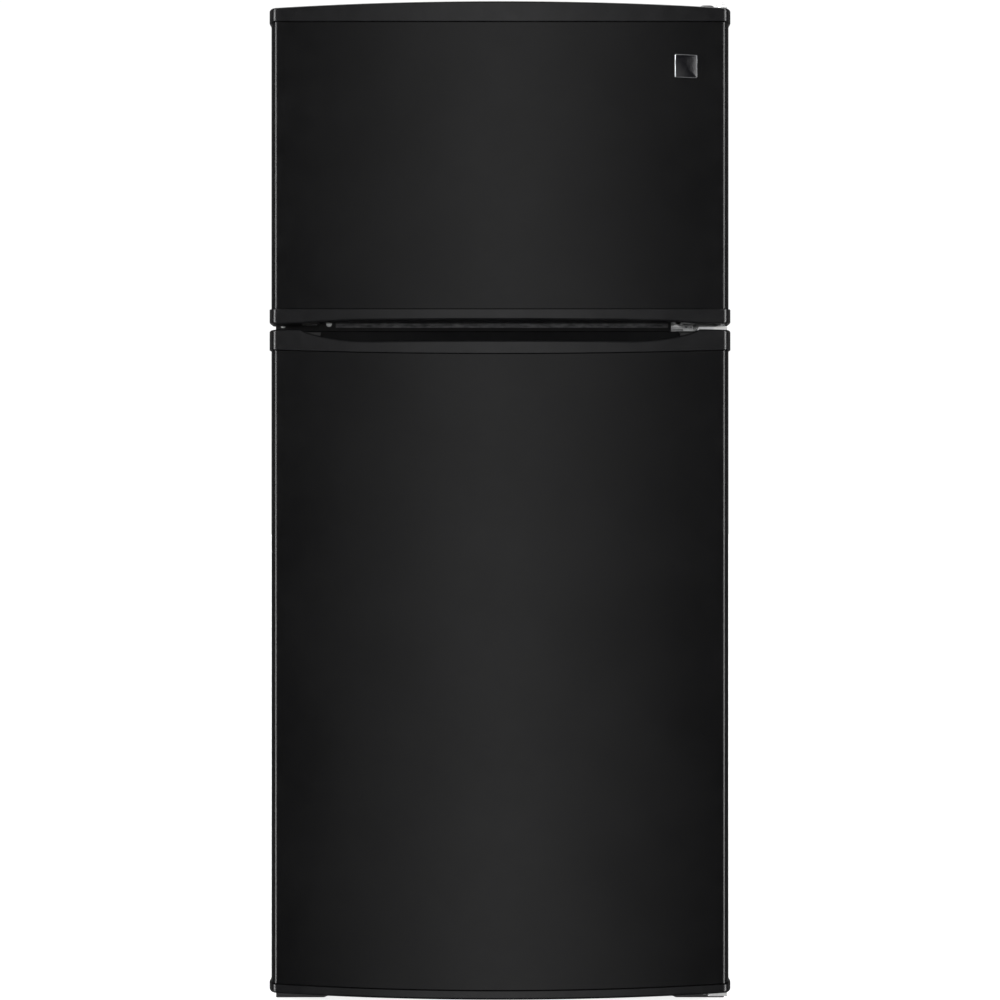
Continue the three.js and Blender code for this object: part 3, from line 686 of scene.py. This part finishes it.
def top_hinge_dome():
    """Low domed cover over the top hinge's screws."""
    low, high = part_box("top_hinge_cover")
    tall = high.z - low.z
    place = placed(((low.x + high.x) / 2, (low.y + high.y) / 2, low.z), (1, 0, 0), (0, 1, 0))
    width, length = high.x - low.x, high.y - low.y
    loops = []
    for k in range(10):
        a = math.radians(90 * k / 9.6)
        shrink = 1 - math.cos(a) ** 0.8
        inset = shrink * width * 0.40
        outline = rounded(width - 2 * inset, length - 2 * inset, max(0.8 * MM, 7 * MM - inset * 0.5))
        loops.append([place(u, v, tall * math.sin(a)) for u, v in outline])
    Batch().loft(loops).make("top_hinge_dome", "cap_plastic", "cabinet", "black_plastic",
                             replaces=["top_hinge_cover"], sharp=60)


def rear_screws():
    """Hex screws round the rear panel and the cover of the machine compartment."""
    batch = Batch()
    panel_low, panel_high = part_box("rear_panel")
    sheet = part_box("compressor_cover")[0].y + 1 * MM
    for side in (-1, 1):
        for k in range(6):
            z = panel_low.z + 0.03 + (panel_high.z - panel_low.z - 0.05) * k / 5
            batch.screw(on_rear(side * 0.340, sheet, z))
        for z in (0.058, 0.203):
            batch.screw(on_rear(side * 0.337, sheet, z))
    for x in (-0.17, 0.0, 0.17):
        batch.screw(on_rear(x, sheet, panel_high.z - 0.012))
        batch.screw(on_rear(x, sheet, panel_low.z + 0.008))
        batch.screw(on_rear(x, sheet, 0.207))
    batch.make("rear_screws", "zinc", "cabinet", "zinc_steel")


def trim_bar(name, node, body, tall=11 * MM, thick=3.2 * MM, drop=1.5 * MM):
    """White moulded rail along the top front edge of a clear bin."""
    low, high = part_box(node)
    front = high.y if body.endswith("door") else low.y
    place = on_rear if body.endswith("door") else on_front
    rail = Batch().pad(place((low.x + high.x) / 2, front, high.z - tall / 2 - drop), high.x - low.x - 3 * MM,
                       tall, 3 * MM, thick, 1.4 * MM)
    rail.make(name, "white_moulding", body, "white_plastic")


DIAL_FACE = -0.150  # y of the control housing's front, which carries the dial


def knob_marks():
    """Dial ticks round the temperature knob, and the knob's pointer."""
    low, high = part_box("temperature_knob")
    x, z = (low.x + high.x) / 2, (low.z + high.z) / 2
    housing_low, housing_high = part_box("control_housing")
    radius = (high.x - low.x) / 2
    ticks = Batch()
    for k in range(9):
        turn = math.radians(-120 + 30 * k)
        up = Vector((math.sin(turn), 0, math.cos(turn)))
        across = Vector((math.cos(turn), 0, -math.sin(turn)))
        middle = Vector((x, DIAL_FACE, z)) + up * (radius + 4 * MM)
        if housing_low.z + 1 * MM < middle.z - 3 * MM and middle.z + 3 * MM < housing_high.z:
            ticks.pad(placed(middle, across, up), 1.1 * MM, 4.2 * MM, 0.5 * MM, 0.35 * MM, 0.15 * MM)
    ticks.make("dial_ticks", "dark_moulding", "cabinet", "black_plastic")
    pointer = Batch().pad(on_front(x, low.y, z + radius * 0.45), 2.2 * MM, radius * 0.7, 1 * MM, 0.5 * MM,
                          0.2 * MM)
    pointer.make("knob_pointer", "dark_moulding", "temperature_knob", "black_plastic")


badge()
gap_details()
top_hinge_dome()
rear_screws()
knob_marks()
for side in ("left", "right"):
    trim_bar(f"crisper_{side}_grip", f"crisper_{side}", f"crisper_{side}", tall=16 * MM, thick=4 * MM)
for bin_name in ("door_bin_lower", "door_bin_middle"):
    trim_bar(f"{bin_name}_rail", bin_name, "fridge_door")


# ---------------------------------------------------------------- stage and light
def lit_floor():
    """Pale studio floor, bright enough to meet the white background."""
    m = Nodes("studio_floor")
    m.tint(m.noise(0.6, 3), (0.86, 0.86, 0.86), (0.9, 0.9, 0.9))
    m.rough(m.noise(3, 3), 0.7, 0.9)
    m.set(glow_colour=(1, 1, 1, 1), glow=0.80)
    mesh = bpy.data.meshes.new("studio_floor")
    size = 30
    corners = [(-size, -size, 0), (size, -size, 0), (size, size, 0), (-size, size, 0)]
    mesh.from_pydata(corners, [], [(0, 1, 2, 3)])
    mesh.materials.append(m.material)
    floor = bpy.data.objects.new("studio_floor", mesh)
    floor.location.z = -0.2 * MM
    floor.visible_glossy = False
    bpy.context.scene.collection.objects.link(floor)


class Studio:
    """Soft light from all round: tall glows by compass direction, and a panel overhead."""

    def __init__(self):
        world = bpy.data.worlds.new("studio")
        bpy.context.scene.world = world
        world.use_nodes = True
        self.tree = world.node_tree
        self.way = self.add("ShaderNodeTexCoord").outputs["Generated"]
        level = self.math("VectorMath", "MULTIPLY", self.way, (1, 1, 0))
        self.level = self.math("VectorMath", "NORMALIZE", level.outputs[0]).outputs[0]
        split = self.add("ShaderNodeSeparateXYZ")
        self.tree.links.new(self.way, split.inputs[0])
        steep = self.math("Math", "ABSOLUTE", split.outputs["Z"]).outputs[0]
        self.band = self.fade(steep, GLOW_TOP - 0.16, GLOW_TOP, 1.0, "SMOOTHSTEP")
        self.total = None

    def add(self, kind, **settings):
        node = self.tree.nodes.new(kind)
        for key, value in settings.items():
            setattr(node, key, value)
        return node

    def math(self, kind, operation, *values):
        node = self.add(f"ShaderNode{kind}", operation=operation)
        for socket, value in zip(node.inputs, values):
            if isinstance(value, bpy.types.NodeSocket):
                self.tree.links.new(value, socket)
            else:
                socket.default_value = value
        return node

    def fade(self, value, near, far, strength, kind):
        """Strength up to near, then down to nothing at far."""
        node = self.add("ShaderNodeMapRange", interpolation_type=kind)
        self.tree.links.new(value, node.inputs["Value"])
        for key, number in (("From Min", near), ("From Max", far), ("To Min", strength), ("To Max", 0.0)):
            node.inputs[key].default_value = number
        return node.outputs[0]

    def sum(self, value):
        if self.total is None:
            self.total = value
        else:
            self.total = self.math("Math", "ADD", self.total, value).outputs[0]

    def from_direction(self, way, toward, half_width, strength, kind):
        dot = self.math("VectorMath", "DOT_PRODUCT", way, toward).outputs["Value"]
        angle = self.math("Math", "ARCCOSINE", dot).outputs[0]
        return self.fade(angle, 0.0, math.radians(half_width), strength, kind)

    def glow(self, compass, half_width, strength, kind="SMOOTHSTEP"):
        """Light round one compass direction, as high and as low as the band. 0 is the front, 90 the right."""
        turn = math.radians(compass)
        toward = (math.sin(turn), -math.cos(turn), 0)
        light = self.from_direction(self.level, toward, half_width, strength, kind)
        self.sum(self.math("Math", "MULTIPLY", light, self.band).outputs[0])

    def overhead(self, lean_back, half_width, strength):
        """A round panel above, its middle leaning back from straight up."""
        lean = math.radians(lean_back)
        toward = (0, math.sin(lean), math.cos(lean))
        self.sum(self.from_direction(self.way, toward, half_width, strength, "SMOOTHSTEP"))

    def finish(self, base, background):
        """White background for the camera, the glows for all other rays."""
        lit = self.math("Math", "ADD", self.total, base).outputs[0]
        seen = self.add("ShaderNodeLightPath").outputs["Is Camera Ray"]
        mix = self.add("ShaderNodeMix", data_type="FLOAT")
        self.tree.links.new(seen, mix.inputs["Factor"])
        self.tree.links.new(lit, mix.inputs[2])
        mix.inputs[3].default_value = background
        back = self.tree.nodes["Background"]
        back.inputs["Color"].default_value = (1, 1, 1, 1)
        self.tree.links.new(mix.outputs[0], back.inputs["Strength"])


GLOW_TOP = 0.72  # sine of the elevation where the side and front glows end


def make_light():
    studio = Studio()
    studio.glow(0, 28, 0.95, "LINEAR")
    for side in (-1, 1):
        studio.glow(side * 54, 9, 15.0)
        studio.glow(side * 105, 16, 0.4)
        studio.glow(side * 150, 24, 0.6)
    studio.overhead(lean_back=22, half_width=34, strength=5.0)
    studio.finish(base=0.02, background=1.05)


lit_floor()
make_light()
bpy.context.scene.view_settings.view_transform = "Standard"
